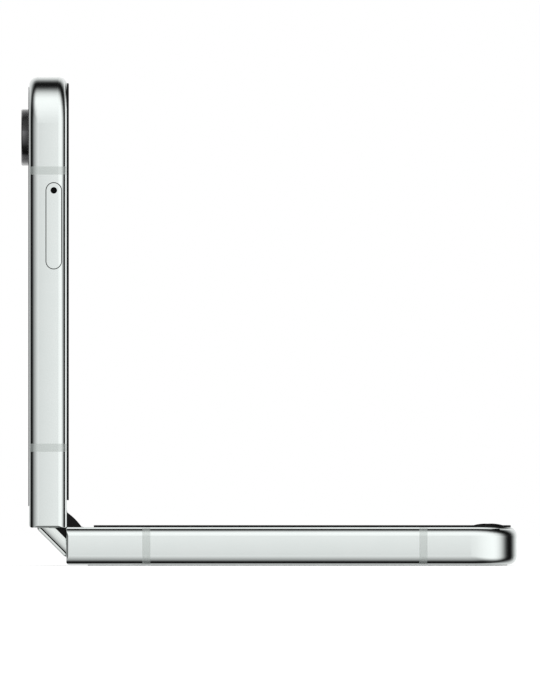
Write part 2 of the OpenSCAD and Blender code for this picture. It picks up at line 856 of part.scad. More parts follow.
module spine_end_caps() {
    tongue_half = end_plate_half - seat;
    color("black") on_spine() both_sides() across(cap_in, spine_half_l) {
        intersection() {
            translate([0, cap_h - cap_crown_r]) circle(cap_crown_r);
            union() {
                translate([-cap_half_w, flank_h + seat]) square([2 * cap_half_w, cap_h - flank_h]);
                translate([-tongue_half, end_plate_h]) square([2 * tongue_half, cap_h - end_plate_h]);
            }
        }
    }
}

// Brackets in the spine: a curved groove for each rail, and the bearings of the shafts
module hinge_brackets() {
    floor_z = spine_wall;
    top_drop = 0.15;
    groove_wall = 0.45;
    top = axis_h - top_drop;
    reach = axis_off + rail_out_r + groove_wall;
    color(steel_c) on_spine() in_units() {
        bracket_block(floor_z, top, reach);
        mirror([1, 0, 0]) mirror([0, 1, 0]) bracket_block(floor_z, top, reach);
    }
}

// Half of a bracket: the groove's mouth lets the arm swing, and the rest clears the sectors
module bracket_block(floor_z, top, reach) {
    mouth_angle = -36;
    sector_room = 1.9;
    bearing_play = 0.01;
    difference() {
        across(gear_room, unit_end) intersection() {
            translate([-reach, floor_z]) square([2 * reach, top - floor_z]);
            spine_shape(spine_wall, floor_z, top);
        }
        // The groove, open where the arm passes
        across(groove_y, unit_end - unit_wall) translate([axis_off, axis_h]) difference() {
            circle(rail_out_r + rail_play);
            circle(rail_in_r - rail_play);
        }
        across(gear_room - over, unit_end + over) translate([axis_off, axis_h]) difference() {
            slice(mouth_angle, 90);
            intersection() {
                circle(rail_in_r - rail_play);
                slice(-90, mouth_angle);
            }
        }
        // Clear of the toothed sectors, and of the other half's arm
        across(gear_room - over, unit_end + over) translate([-2 * reach, floor_z + sector_room])
            square([2 * reach - fit, top]);
        for (s = [-1, 1])
            cross_pin(s * idler_x, idler_z, gear_room - over, groove_y - seat, shaft_r + bearing_play);
    }
}

module gear_shafts() {
    y = groove_y - 0.15;
    color("silver") on_spine() in_units() for (s = [-1, 1]) cross_pin(s * idler_x, idler_z, -y, y, shaft_r);
}

module friction_discs() {
    y = gear_w / 2 + gear_gap;
    disc_r = 2 * shaft_r;
    bore_play = 0.01;
    color(brass_c) on_spine() in_units() both_sides() for (s = [-1, 1]) difference() {
        cross_pin(s * idler_x, idler_z, y, y + disc_t, disc_r);
        cross_pin(s * idler_x, idler_z, y - over, y + disc_t + over, shaft_r + bore_play);
    }
}

// Bend of the display between the two halves, hidden side in the hinge
module display_fold() {
    cap_gap = 0.25;
    y = cap_in - cap_gap;
    color(glass_c) on_lower() across(-y, y) translate([fold_end_x(), display_top + fold_r]) intersection() {
        difference() {
            circle(fold_r + fold_t);
            circle(fold_r);
        }
        translate([-2 * fold_r, -2 * fold_r]) square([2 * fold_r, 2 * fold_r]);
    }
}

module idler_gear(x, phase) {
    color(steel_c) on_spine() in_units() difference() {
        across(-gear_w / 2, gear_w / 2) translate([x, idler_z]) gear_profile(phase);
        cross_pin(x, idler_z, -gear_w, gear_w, shaft_r + gear_fit);
    }
}

module lower_idler_gears() idler_gear(idler_x, lower_idler_phase);

module upper_idler_gears() idler_gear(-idler_x, upper_idler_phase);

module upper_frame() {
    y0 = half_w - side_wall - over;
    color(frame_c) on_upper() {
        difference() {
            half_frame();
            // Slot of the card tray, and of the two keys in the other side
            side_oblong(tray_x, tray_z, tray_face_l + 2 * key_gap, tray_face_h + 2 * key_gap,
                        -half_w - over, -y0);
            side_oblong(volume_x, key_z, volume_l + 2 * key_gap, key_h + 2 * key_gap, y0, half_w + over);
            side_oblong(power_x, key_z, power_l + 2 * key_gap, key_h + 2 * key_gap, y0, half_w + over);
            // Sight hole of the front camera, slit of the earpiece, microphone hole
            pin(front_cam_x, 0, plate_z - over, half_t, front_cam_r + sight_rim);
            translate([bay_end - over, upper_mic_y, port_z]) rotate([0, 90, 0])
                cylinder(h = end_wall + 2 * over, r = mic_r);
        }
        bosses(upper_boss_at, board_z + board_t);
    }
}

sight_rim = 0.5;
upper_mic_y = (ring_ys[0] + ring_ys[1]) / 2;
boss_in = 2.2;
middle_boss_y = -6;
side_boss_y = bay_half - 14.65;
end_boss_y = 12.65 - bay_half;
upper_boss_at = [
    [main_board_x + boss_in, middle_boss_y], [main_board_x + boss_in, side_boss_y],
    [bay_end - 2.5 * boss_in, end_boss_y]
];

module cover_glass() {
    color(glass_c) on_upper() difference() {
        half_glass();
        for (y = ring_ys) pin(ring_x, y, -over, glass_t + over, ring_r - ring_seat);
        pin(ring_x, flash_y, -over, glass_t + over, flash_r + fit);
    }
}

// Display panel behind the cover glass, cut away round the cameras
module cover_display() {
    panel_t = 0.35;
    panel_in = 2.2;
    panel_corner = 3;
    camera_gap = 1.5;
    color([0.12, 0.12, 0.14]) on_upper() difference() {
        translate([0, 0, glass_t + glue_t]) linear_extrude(panel_t)
            outline(side_wall + panel_in, bay_x + part_gap, panel_corner);
        block([ring_x - ring_r - camera_gap, flash_y - flash_r - camera_gap, 0], [half_l, half_w, half_t]);
    }
}

// Camera ring: a turned collar that stands on the cover glass and reaches through it
module camera_rings() {
    chamfer = 0.18;
    bore_r = ring_r - 1.6;
    collar_r = ring_r - ring_seat - fit;
    lip_r = ring_r - 0.75;
    color([0.18, 0.18, 0.19]) on_upper() for (y = ring_ys) translate([ring_x, y, 0]) rotate_extrude()
        polygon([
            [bore_r, window_z + window_t], [window_seat_r, window_z + window_t], [lip_r, -ring_h],
            [ring_r - chamfer, -ring_h], [ring_r, chamfer - ring_h], [ring_r, 0],
            [collar_r, 0], [collar_r, glass_t], [bore_r, glass_t]
        ]);
}

module camera_windows() {
    color(glass_c) on_upper() for (y = ring_ys)
        pin(ring_x, y, window_z, window_z + window_t - glue_t, window_seat_r - fit);
}

// Camera modules: square base, barrel and the front lens in its hood
module camera_modules() {
    base_z = 1.6;
    barrel_r = ring_r - 1.7;
    barrel_z = window_z + window_t + seat;
    hood = [2.6, 1.2, 0.9];
    color([0.2, 0.2, 0.22]) on_upper() for (y = ring_ys) {
        block([ring_x - camera_half, y - camera_half, base_z],
              [ring_x + camera_half, y + camera_half, plate_z - seat]);
        difference() {
            pin(ring_x, y, barrel_z, base_z + seat, barrel_r);
            translate([ring_x, y, barrel_z - seat]) cylinder(h = hood.z, r1 = hood.x, r2 = hood.y);
        }
    }
}

module flash_lamp() {
    base = [3.2, 3.2, 0.7];
    color([0.9, 0.88, 0.75]) on_upper() {
        pin(ring_x, flash_y, glue_t, glass_t, flash_r);
        translate([ring_x - base.x / 2, flash_y - base.y / 2, glass_t]) cube(base);
    }
}

module upper_bezel() color(black_c) on_upper() half_bezel();

module display_upper() {
    color(glass_c) on_upper() difference() {
        half_display();
        pin(front_cam_x, 0, 0, half_t, front_cam_r);
    }
}

module upper_antenna_bands() color(band_c) on_upper() antenna_bands();

tray_room = [tray_x - tray_face_l / 2 - 0.4, tray_depth + 3];
board_corner = 5;

module main_board() {
    x0 = main_board_x;
    x1 = x0 + main_board_l;
    y = board_half;
    camera_room = camera_half + part_gap;
    color(board_c) on_upper() difference() {
        block([x0, -y, board_z], [x1, y, board_z + board_t]);
        // Cut away for the card socket, the cameras, the earpiece and the corner of the bay
        block([tray_room[0], -y - over, 0], [2 * tray_x - tray_room[0], tray_room[1] - half_w, half_t]);
        block([ring_x - camera_room, ring_ys[1] - camera_room, 0], [x1 + over, y + over, half_t]);
        block([front_cam_x - front_cam_half - part_gap, earpiece_y - part_gap, 0], [x1 + over, y, half_t]);
        block([x1 - board_corner, -y - over, 0], [x1 + over, board_corner - y, half_t]);
        for (p = upper_boss_at) pin(p[0], p[1], 0, half_t, screw_hole_r);
    }
}

shield_in = 5.5;
wide_shield_l = 17;
short_shield_l = 14;

// Open can of sheet metal from y0 to y1, its rim on the board
module shield_can(l, y0, y1) {
    can_h = 1.2;
    sheet = 0.3;
    x = main_board_x + shield_in;
    z = board_z - seat / 2;
    difference() {
        block([x, y0, z - can_h], [x + l, y1, z]);
        block([x + sheet, y0 + sheet, z - can_h + sheet], [x + l - sheet, y1 - sheet, z + over]);
    }
}

// Shield cans over the chips, towards the back of the main board
module board_shields() {
    split_y = 9;
    split_gap = 2;
    tray_gap = 5.45;
    edge_gap = 2.25;
    color(steel_c) on_upper() {
        shield_can(wide_shield_l, tray_room[1] - half_w + tray_gap, split_y);
        shield_can(short_shield_l, split_y + split_gap, board_half - edge_gap);
    }
}

module upper_battery() {
    z = bay_z + 0.5;
    color([0.2, 0.2, 0.22]) on_upper() battery(battery_x, upper_battery_l, battery_half, z);
}

module front_camera() {
    half = front_cam_half;
    barrel_rim = 0.3;
    color([0.15, 0.15, 0.16]) on_upper() {
        block([front_cam_x - half, -half, plate_z - half], [front_cam_x + half, half, plate_z - seat]);
        pin(front_cam_x, 0, plate_z - barrel_rim, display_z - fit, front_cam_r + barrel_rim);
    }
}

module earpiece() {
    x1 = bay_end - 2 * seat;
    mouth = [9, 3.4, 0.3];
    color([0.16, 0.16, 0.17]) on_upper() difference() {
        block([x1 - earpiece_w, earpiece_y, plate_z - earpiece_h],
              [x1, earpiece_y + earpiece_l, plate_z - seat]);
        translate([x1 - earpiece_w / 2, earpiece_y + earpiece_l / 2, plate_z - earpiece_h - over])
            linear_extrude(over + mouth.z) oblong_y(mouth.x, mouth.y);
    }
}

tray_t = 0.9;
tray_w = tray_face_l - 2;
socket_t = 0.3;

// Socket that the card tray slides in, a folded sleeve open towards the side
module tray_socket() {
    w = tray_w / 2 + key_gap + socket_t;
    h = tray_t / 2 + key_gap + socket_t;
    y0 = side_wall + seat - half_w;
    y1 = y0 + tray_depth + 0.8;
    color(steel_c) on_upper() difference() {
        block([tray_x - w, y0, tray_z - h], [tray_x + w, y1, tray_z + h]);
        block([tray_x - w + socket_t, y0 - over, tray_z - h + socket_t],
              [tray_x + w - socket_t, y1 - socket_t, tray_z + h - socket_t]);
    }
}

// Card tray: face flush with the side, and a carrier with a window for the card
module card_tray() {
    face_t = side_wall - seat;
    y0 = face_t - half_w;
    floor_t = 0.25;
    card = [12.4, 8.9];
    card_y = y0 + tray_depth - 2.2 - card.y;
    ledge = 1.2;
    hole_in = 1.35;
    color(frame_c) on_upper() difference() {
        union() {
            intersection() {
                half_body();
                side_oblong(tray_x, tray_z, tray_face_l, tray_face_h, -half_w - over, y0);
            }
            block([tray_x - tray_w / 2, y0 - fit, tray_z - tray_t / 2],
                  [tray_x + tray_w / 2, y0 + tray_depth, tray_z + tray_t / 2]);
        }
        // Pocket that the card lies in, and the window under it
        translate([tray_x - card.x / 2, card_y, tray_z - tray_t / 2 + floor_t]) cube([card.x, card.y, over]);
        block([tray_x - card.x / 2 + ledge, card_y + ledge, tray_z - over],
              [tray_x + card.x / 2 - ledge, card_y + card.y - ledge, tray_z + over]);
        cross_pin(tray_x + tray_face_l / 2 - hole_in, tray_z, -half_w - over, y0 + over, eject_r);
    }
}

// Cap of a key, its outer edge rounded: its ends are turned, its middle is drawn along x
module key_cap(x, l, y0, y1) {
    module section() {
        difference() {
            square([key_h / 2, y1 - y0]);
            translate([key_h / 2, y1 - y0]) mirror([0, 1]) corner_loss(key_edge_r);
        }
    }
    translate([x, y0, key_z]) {
        for (s = [-1, 1]) translate([s * (l - key_h) / 2, 0, 0])
            rotate([-90, 0, 0]) rotate_extrude() section();
        for (t = [0, 1]) mirror([0, 0, t]) rotate([0, -90, 0])
            linear_extrude(l - key_h, center = true) section();
    }
}

// Key in the side wall: a cap that stands proud and a flange that keeps it in
module side_key(x, l) {
    key_cap(x, l, key_back, half_w + key_proud);
    side_oblong(x, key_z, l + 2 * key_lip, key_h + 2 * key_lip, key_back - key_flange, key_back);
}

module power_key() color(frame_c) on_upper() side_key(power_x, power_l);

module volume_key() color(frame_c) on_upper() side_key(volume_x, volume_l);

// Strip with the dome switches behind the keys, and the ribs that carry it
module key_switches() {
    y1 = key_back - key_flange - switch_gap;
    x0 = power_x - power_l / 2;
    x1 = volume_x + volume_l / 2;
    strip_t = 0.4;
    strip_down = 1.3;
    dome_r = 1;
    dome_pitch = volume_l / 1.7;
    color(brass_c) on_upper() {
        block([x0, y1 - 2 * strip_t, key_z - strip_down], [x1, y1 - strip_t, plate_z - seat]);
        for (x = [power_x, volume_x - dome_pitch / 2, volume_x + dome_pitch / 2])
            cross_pin(x, key_z, y1 - strip_t - seat, y1, dome_r);
    }
}

module upper_hinge_arms() color(steel_c) on_upper() mirror([0, 1, 0]) in_units() hinge_arm(upper_arm_phase);

module upper_screws() {
    color("silver") on_upper() {
        foot_screws();
        for (p = upper_boss_at) board_screw(p, board_z + board_t);
    }
}

lower_frame();
lower_back_glass();
lower_bezel();
bezel_bumpers();
display_lower();
lower_antenna_bands();
lower_battery();
charging_coil();
lower_board();
usb_port();
loudspeaker();
vibration_motor();
microphone();
lower_hinge_arms();
lower_screws();
hinge_spine();
spine_end_caps();
hinge_brackets();
gear_shafts();
friction_discs();
display_fold();
lower_idler_gears();
upper_idler_gears();
upper_frame();
cover_glass();
cover_display();
camera_rings();
camera_windows();
camera_modules();
flash_lamp();
upper_bezel();
display_upper();
upper_antenna_bands();
main_board();
board_shields();
upper_battery();
front_camera();
earpiece();
tray_socket();
key_switches();
upper_hinge_arms();
upper_screws();
card_tray();
power_key();
volume_key();
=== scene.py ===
import bpy, json, math
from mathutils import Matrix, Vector


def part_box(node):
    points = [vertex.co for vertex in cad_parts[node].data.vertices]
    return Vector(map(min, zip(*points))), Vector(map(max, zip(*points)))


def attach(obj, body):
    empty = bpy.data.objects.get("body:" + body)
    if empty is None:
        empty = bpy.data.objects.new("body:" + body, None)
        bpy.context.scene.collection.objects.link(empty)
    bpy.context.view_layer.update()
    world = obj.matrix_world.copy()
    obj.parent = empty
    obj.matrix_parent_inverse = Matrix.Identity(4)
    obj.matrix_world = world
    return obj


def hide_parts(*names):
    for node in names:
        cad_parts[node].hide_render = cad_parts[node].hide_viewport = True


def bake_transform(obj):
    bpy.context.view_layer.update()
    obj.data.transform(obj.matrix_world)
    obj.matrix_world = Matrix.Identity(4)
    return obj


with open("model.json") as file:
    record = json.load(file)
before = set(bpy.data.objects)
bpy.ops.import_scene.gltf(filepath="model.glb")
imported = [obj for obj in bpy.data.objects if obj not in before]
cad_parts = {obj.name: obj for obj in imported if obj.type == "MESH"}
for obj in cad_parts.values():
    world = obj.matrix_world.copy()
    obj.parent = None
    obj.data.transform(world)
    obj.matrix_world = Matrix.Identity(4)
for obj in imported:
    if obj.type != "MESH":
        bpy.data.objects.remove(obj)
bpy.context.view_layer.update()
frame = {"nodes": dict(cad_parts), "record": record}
nodes = frame["nodes"]
record = frame["record"]
MM = 0.001


def joined(kind, swapped=False):
    """A method that feeds a socket and another, or a number, into a Math node."""
    def method(self, other):
        first, second = (other, self) if swapped else (self, other)
        return self.shop.math(kind, first, second)
    return method


class Wire:
    """A node socket that adds Math nodes when it is used in an expression."""

    __add__, __radd__ = joined("ADD"), joined("ADD", True)
    __sub__, __rsub__ = joined("SUBTRACT"), joined("SUBTRACT", True)
    __mul__, __truediv__ = joined("MULTIPLY"), joined("DIVIDE")
    __pow__ = joined("POWER")
    __gt__, __lt__ = joined("GREATER_THAN"), joined("LESS_THAN")
    at_most, at_least = joined("MINIMUM"), joined("MAXIMUM")

    def __init__(self, shop, socket):
        self.shop, self.socket = shop, socket

    def abs(self):
        return self.shop.math("ABSOLUTE", self)

    def within(self, low, high):
        return self.at_least(low).at_most(high)


class Shop:
    """A material or world under construction."""

    def __init__(self, owner):
        owner.use_nodes = True
        self.owner, self.tree = owner, owner.node_tree
        self.tree.nodes.clear()

    def node(self, kind, settings=None, sockets=None, out=0):
        made = self.tree.nodes.new(kind)
        for key, value in (settings or {}).items():
            setattr(made, key, value)
        for key, value in (sockets or {}).items():
            target = made.inputs[key]
            if isinstance(value, Wire):
                self.tree.links.new(value.socket, target)
            else:
                target.default_value = value
        return Wire(self, made.outputs[out]) if len(made.outputs) else None

    def math(self, kind, *values):
        return self.node("ShaderNodeMath", {"operation": kind}, dict(enumerate(values)))

    def vector(self, kind, sockets):
        return self.node("ShaderNodeVectorMath", {"operation": kind}, sockets)

    def place(self):
        """Object coordinates in millimetres."""
        raw = self.node("ShaderNodeTexCoord", out="Object")
        return self.vector("SCALE", {0: raw, "Scale": 1 / MM})

    def split(self, vector):
        first = self.node("ShaderNodeSeparateXYZ", None, {0: vector})
        return [Wire(self, socket) for socket in first.socket.node.outputs]

    def noise(self, vector, scale, detail=2.0, rough=0.5):
        return self.node("ShaderNodeTexNoise", None,
                         {"Vector": vector, "Scale": scale, "Detail": detail, "Roughness": rough})

    def lines(self, place, stretch, detail=2.0):
        """Noise with a scale of its own along each axis, which draws it out into lines."""
        return self.noise(self.vector("MULTIPLY", {0: place, 1: stretch}), 1.0, detail)

    def tint(self, amount, low, high):
        """Colour between two, by a number from 0 to 1."""
        return self.node("ShaderNodeMix", {"data_type": "RGBA"},
                         {"Factor": amount, 6: (*low, 1), 7: (*high, 1)}, out=2)

    def bump(self, height, strength, distance, normal=None):
        sockets = {"Height": height, "Strength": strength, "Distance": distance}
        if normal is not None:
            sockets["Normal"] = normal
        return self.node("ShaderNodeBump", None, sockets)

    def lean(self, fall, normal):
        """Tilts the normal as a surface that falls away by so many millimetres."""
        return self.bump(fall * -1.0, 1.0, MM, normal)

    def surface(self, shader):
        self.node("ShaderNodeOutputMaterial", None, {"Surface": shader})
        return self.owner

    def principled(self, **sockets):
        """Ends with the Principled shader. Its sockets are given by their names in lower case."""
        names = {key.replace("_", " ").title().replace("Ior", "IOR"): value
                 for key, value in sockets.items()}
        return self.surface(self.node("ShaderNodeBsdfPrincipled", None, names))


def new_finish(name):
    return Shop(bpy.data.materials.new(name))


def about(middle, noise, span):
    """The middle, moved up and down by half of the span by the noise."""
    return (noise - 0.5) * span + middle


def slopes(distance, steps):
    """Fall of a surface whose slope changes by the second number of each step past the first."""
    return sum((distance - at).at_least(0.0) * slope for at, slope in steps)


def anodised_metal(name, low, high, rough, fall=None, shine=1.0):
    """Satin anodised aluminium, or coated plastic with less shine: fine blasted grain under a
    thin dyed layer. fall makes the millimetres by which the surface falls away."""
    shop = new_finish(name)
    place = shop.place()
    grain = shop.noise(place, 22.0, detail=3.0, rough=0.6)
    cloud = shop.noise(place, 0.35)
    normal = shop.bump(grain, 0.05, 0.004 * MM)
    if fall:
        normal = shop.lean(fall(shop, place), normal)
    return shop.principled(
        base_color=shop.tint(cloud, low, high), metallic=shine, roughness=about(rough, grain, 0.05),
        normal=normal)


# The sides of the frames by the height above the back glass, in millimetres: lightly crowned
# about SWELL_TOP, and sloping more towards the display up to the bright line beside it.
SWELL_TOP, SWELL_BELOW, SWELL_ABOVE, SWELL_CURVE = 3.2, -1.3, 2.2, 0.022
CROWN = [(5.45, 0.22), (5.95, 0.05), (6.5, 0.14), (6.76, -1.6)]
UPPER_BACK_X = -48.136

# The face of the card tray, the gap round it and the broken edges of the gap, in millimetres
TRAY_X, TRAY_Z = -43.486, 62.036
FACE_L, FACE_H, TRAY_GAP = 15.66, 2.77, 0.1
EDGE_BREAK, EDGE_SLOPE = 0.035, 1.3


def crowned(height):
    swell = (height - SWELL_TOP).within(SWELL_BELOW, SWELL_ABOVE)
    return swell * swell * SWELL_CURVE + slopes(height, CROWN)


def lower_crown(shop, place):
    return crowned(shop.split(place)[2])


def upper_crown(shop, place):
    return crowned(shop.split(place)[0] - UPPER_BACK_X)


def tray_edges(shop, place):
    """Fall of the broken edges on both sides of the gap round the tray's face."""
    x, y, z = shop.split(place)
    past_end = ((z - TRAY_Z).abs() - (FACE_L - FACE_H) / 2).at_least(0.0)
    from_middle = (past_end * past_end + (x - TRAY_X) * (x - TRAY_X)) ** 0.5
    off = (from_middle - (FACE_H + TRAY_GAP) / 2).abs()
    return (off * -1.0 + (TRAY_GAP / 2 + EDGE_BREAK)).at_least(0.0) * (y < 0.0) * EDGE_SLOPE


def upper_crown_and_edges(shop, place):
    return upper_crown(shop, place) + tray_edges(shop, place)


# The spine stands turned by 45 degrees. 0 is its outer face, and its end plates roll over
# towards it in steps and turn back at their very edge, in millimetres.
SPINE_SUM, SPINE_FLOOR = 33.75, 4.3
SPINE_CROWN = [(-3.2, -0.22), (-2.3, 0.1), (-1.7, 0.12), (-1.4, 0.1), (-1.15, 0.14), (-0.95, 0.2),
               (-0.74, 0.62), (-0.5, -1.52), (-0.22, -0.9)]


def spine_crown(shop, place):
    x, _, z = shop.split(place)
    return slopes((x + z + SPINE_SUM) * -math.sqrt(0.5) - SPINE_FLOOR, SPINE_CROWN)


FRAME_TONES = (0.70, 0.745, 0.73), (0.727, 0.765, 0.752)
BAND_TONES = (0.575, 0.615, 0.597), (0.60, 0.64, 0.622)
frame_lower = anodised_metal("frame_metal_lower", *FRAME_TONES, 0.125, lower_crown)
frame_upper = anodised_metal("frame_metal_upper", *FRAME_TONES, 0.125, upper_crown_and_edges)
band_lower = anodised_metal("band_plastic_lower", *BAND_TONES, 0.24, lower_crown, 0.65)
band_upper = anodised_metal("band_plastic_upper", *BAND_TONES, 0.24, upper_crown, 0.65)
spine_metal = anodised_metal("spine_metal", (0.69, 0.73, 0.71), (0.72, 0.755, 0.735), 0.11, spine_crown)
key_metal = anodised_metal("key_metal", (0.69, 0.735, 0.71), (0.72, 0.76, 0.74), 0.2)


def brushed_metal(name, low, high, rough, axis=1):
    """Rolled, ground or plated metal with fine lines along one axis."""
    shop = new_finish(name)
    place = shop.place()
    stretch = [9.0, 9.0, 9.0]
    stretch[axis] = 0.25
    lines = shop.lines(place, stretch, detail=4.0)
    cloud = shop.noise(place, 0.6)
    return shop.principled(
        base_color=shop.tint(cloud, low, high), metallic=1.0, roughness=about(rough, lines, 0.12),
        normal=shop.bump(lines, 0.12, 0.01 * MM))


steel = brushed_metal("brushed_steel", (0.50, 0.51, 0.53), (0.62, 0.63, 0.65), 0.28)
gear_steel = brushed_metal("gear_steel", (0.42, 0.43, 0.45), (0.55, 0.56, 0.58), 0.3, 0)
gold = brushed_metal("gold_plating", (0.78, 0.56, 0.24), (0.86, 0.64, 0.32), 0.22)
copper = brushed_metal("copper_alloy", (0.72, 0.42, 0.24), (0.80, 0.50, 0.30), 0.3)

# Axes of the cameras, the lamp and the front camera, as y and z in millimetres
CAMERA_YS, CAMERA_Z = (11.35, 24.95), 79.036
LAMP_Y = 1.75
FRONT_CAMERA_Z = 82.736

# The camera rings: where the painted shade by the back glass begins and where it has faded out
# towards the tip, and their barrel above and below the axis as knee, slope, ease and flare. The
# flare begins at RIM_FROM. Lengths are in millimetres.
RING_BASE_X, RING_TIP_X = -48.2, -49.4
RIM_FROM = 3.1
BARREL_ABOVE = (1.2, 0.6, 0.062, 0.15)
BARREL_BELOW = (2.2, 0.37, 0.0, 0.12)


def barrel(off, knee, slope, ease, flare):
    """Fall of a surface whose slope grows up to the knee, eases off and grows again at the rim."""
    near = off.at_most(knee)
    far = (off - knee).at_least(0.0)
    last = (off - RIM_FROM).at_least(0.0)
    return near * near * (slope / knee / 2) + far * slope - far * far * ease + last * last * flare


def turned_ring(name, low, high, rough):
    """Black anodised ring under a clear coat, turned with a light barrel. Painted shade darkens it
    towards its base by the back glass, so it is paler at its rim.
    """
    shop = new_finish(name)
    place = shop.place()
    across, _, up = shop.split(place)
    lines = shop.lines(place, (14.0, 0.6, 0.6))
    # Painted shade: the ring's colour is darkest at its base by the back glass and paler at its tip.
    painted_shade_fade = ((across - RING_BASE_X) / (RING_TIP_X - RING_BASE_X)).within(0.0, 1.0)
    off = up - CAMERA_Z
    above, below = off.at_least(0.0), (off * -1.0).at_least(0.0)
    fall = barrel(above, *BARREL_ABOVE) + barrel(below, *BARREL_BELOW)
    return shop.principled(
        base_color=shop.tint(painted_shade_fade, low, high), metallic=1.0, coat_weight=0.6, coat_roughness=0.12,
        roughness=about(rough, lines, 0.06), normal=shop.lean(fall, shop.bump(lines, 0.06, 0.006 * MM)))


ring_steel = turned_ring("ring_metal", (0.028, 0.028, 0.030), (0.125, 0.125, 0.130), 0.2)


def display_sheet(name, low, high):
    """Black display panel behind a clear coated sheet."""
    shop = new_finish(name)
    place = shop.place()
    cloud = shop.noise(place, 0.12)
    frost = shop.noise(place, 30.0)
    return shop.principled(
        base_color=shop.tint(cloud, low, high), metallic=0.0, roughness=about(0.09, frost, 0.02),
        coat_weight=0.4, coat_roughness=0.08, normal=shop.bump(frost, 0.03, 0.004 * MM))


# Distance from the middle at which the back glass turns from paint to ground edge, in millimetres
GROUND_FROM = 34.0


def tinted_back(name, painted, ground):
    """Mint back glass: painted behind, with a paler, partly metallic edge. Its paler tone is partly the
    ground glass's own and partly painted light that brightens the edge.
    """
    shop = new_finish(name)
    place = shop.place()
    y = shop.split(place)[1]
    frost = shop.noise(place, 30.0)
    # The paler edge tone is partly the ground glass's own and partly painted light.
    edge = ((y.abs() - GROUND_FROM) * 5.0 + (frost - 0.5) * 0.2).within(0.0, 1.0)
    return shop.principled(
        base_color=shop.tint(edge, painted, ground), metallic=edge * 0.75,
        roughness=about(0.32, frost, 0.06), coat_weight=0.3, coat_roughness=0.08,
        normal=shop.bump(frost, 0.03, 0.004 * MM))


def cover_sheet(name, panel_low, panel_high):
    """Black cover glass. The panel behind it shows a shade lighter than the printed border."""
    shop = new_finish(name)
    place = shop.place()
    _, y, z = shop.split(place)
    frost = shop.noise(place, 30.0)
    panel = (y > panel_low.y) * (y < panel_high.y) * (z > panel_low.z) * (z < panel_high.z)
    return shop.principled(
        base_color=shop.tint(panel * 0.8 + frost * 0.2, (0.007, 0.007, 0.008), (0.015, 0.015, 0.019)),
        metallic=0.0, roughness=about(0.06, frost, 0.02), coat_weight=0.6, coat_roughness=0.05,
        normal=shop.bump(frost, 0.02, 0.003 * MM))


screen = display_sheet("display_panel", (0.007, 0.007, 0.009), (0.011, 0.011, 0.014))
mint_glass = tinted_back("mint_glass", (0.56, 0.652, 0.628), (0.90, 0.97, 0.95))
panel_corners = (corner / MM for corner in map(Vector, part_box("cover_display")))
cover_black = cover_sheet("black_glass", *panel_corners)


def away_from(y, z, axis_y, axis_z):
    off_y, off_z = y - axis_y, z - axis_z
    return (off_y * off_y + off_z * off_z) ** 0.5


# Radius of the clear part of a camera window, and half the pitch of the rings pressed into the
# lamp window, in millimetres
CLEAR_R = 2.5
HALF_PITCH = 0.11


def window_sheet(name):
    """Clear window over each camera, printed black round its rim."""
    shop = new_finish(name)
    place = shop.place()
    _, y, z = shop.split(place)
    near, far = (away_from(y, z, at, CAMERA_Z) for at in CAMERA_YS)
    frost = shop.noise(place, 20.0)
    printed = ((near.at_most(far) - CLEAR_R) * 12.0).within(0.08, 1.0)
    return shop.principled(
        base_color=shop.tint(frost, (0.006, 0.006, 0.008), (0.010, 0.010, 0.013)),
        roughness=0.03 + frost * 0.02, alpha=printed, coat_weight=0.5, coat_roughness=0.03)


def coated_lens(name, inner, outer, y, z, radius):
    """Front element of a lens: black behind, with a coating whose tint changes towards the rim."""
    shop = new_finish(name)
    place = shop.place()
    _, at_y, at_z = shop.split(place)
    out = (away_from(at_y, at_z, y, z) / radius).at_most(1.0)
    cloud = shop.noise(place, 1.5)
    return shop.principled(
        base_color=shop.tint(about(out, cloud, 0.3).at_least(0.0), inner, outer), metallic=0.35,
        roughness=0.04 + cloud * 0.03, coat_weight=1.0, coat_roughness=0.03)


def lamp_sheet(name):
    """Lamp window pressed with fine rings, the yellow lamps showing behind its middle."""
    shop = new_finish(name)
    place = shop.place()
    _, y, z = shop.split(place)
    out = away_from(y, z, LAMP_Y, CAMERA_Z)
    ridges = shop.math("PINGPONG", out, HALF_PITCH)
    cloud = shop.noise(place, 5.0)
    clear = ((out - 0.7) * 1.6 + (cloud - 0.5) * 0.3).within(0.0, 1.0)
    return shop.principled(
        base_color=shop.tint(clear, (0.80, 0.62, 0.16), (0.84, 0.82, 0.76)), metallic=0.0,
        roughness=0.12 + cloud * 0.08, coat_weight=0.8, coat_roughness=0.05,
        normal=shop.bump(ridges, 0.6, 0.4 * MM))


def woven_mesh(name, pitch):
    """Black wire cloth behind the sound holes, with its wires this many millimetres apart."""
    shop = new_finish(name)
    turns = 2 * math.pi / pitch
    waves = [shop.math("SINE", along * turns) for along in shop.split(shop.place())]
    weave = (waves[0] + waves[1]) * waves[2] * 0.25 + 0.5
    return shop.principled(
        base_color=shop.tint(weave, (0.004, 0.004, 0.004), (0.09, 0.09, 0.092)), metallic=0.6,
        roughness=0.35 + weave * 0.1, normal=shop.bump(weave, 0.6, 0.03 * MM))


def textured(name, low, high, rough, scale, depth, shine=0.5):
    """Plastic, rubber, laminate or wrapped foil with a fine texture."""
    shop = new_finish(name)
    place = shop.place()
    grain = shop.noise(place, scale, detail=3.0, rough=0.6)
    cloud = shop.noise(place, 0.4)
    return shop.principled(
        base_color=shop.tint(cloud, low, high), metallic=0.0, specular_ior_level=shine,
        roughness=about(rough, grain, 0.1), normal=shop.bump(grain, 0.25, depth * MM))


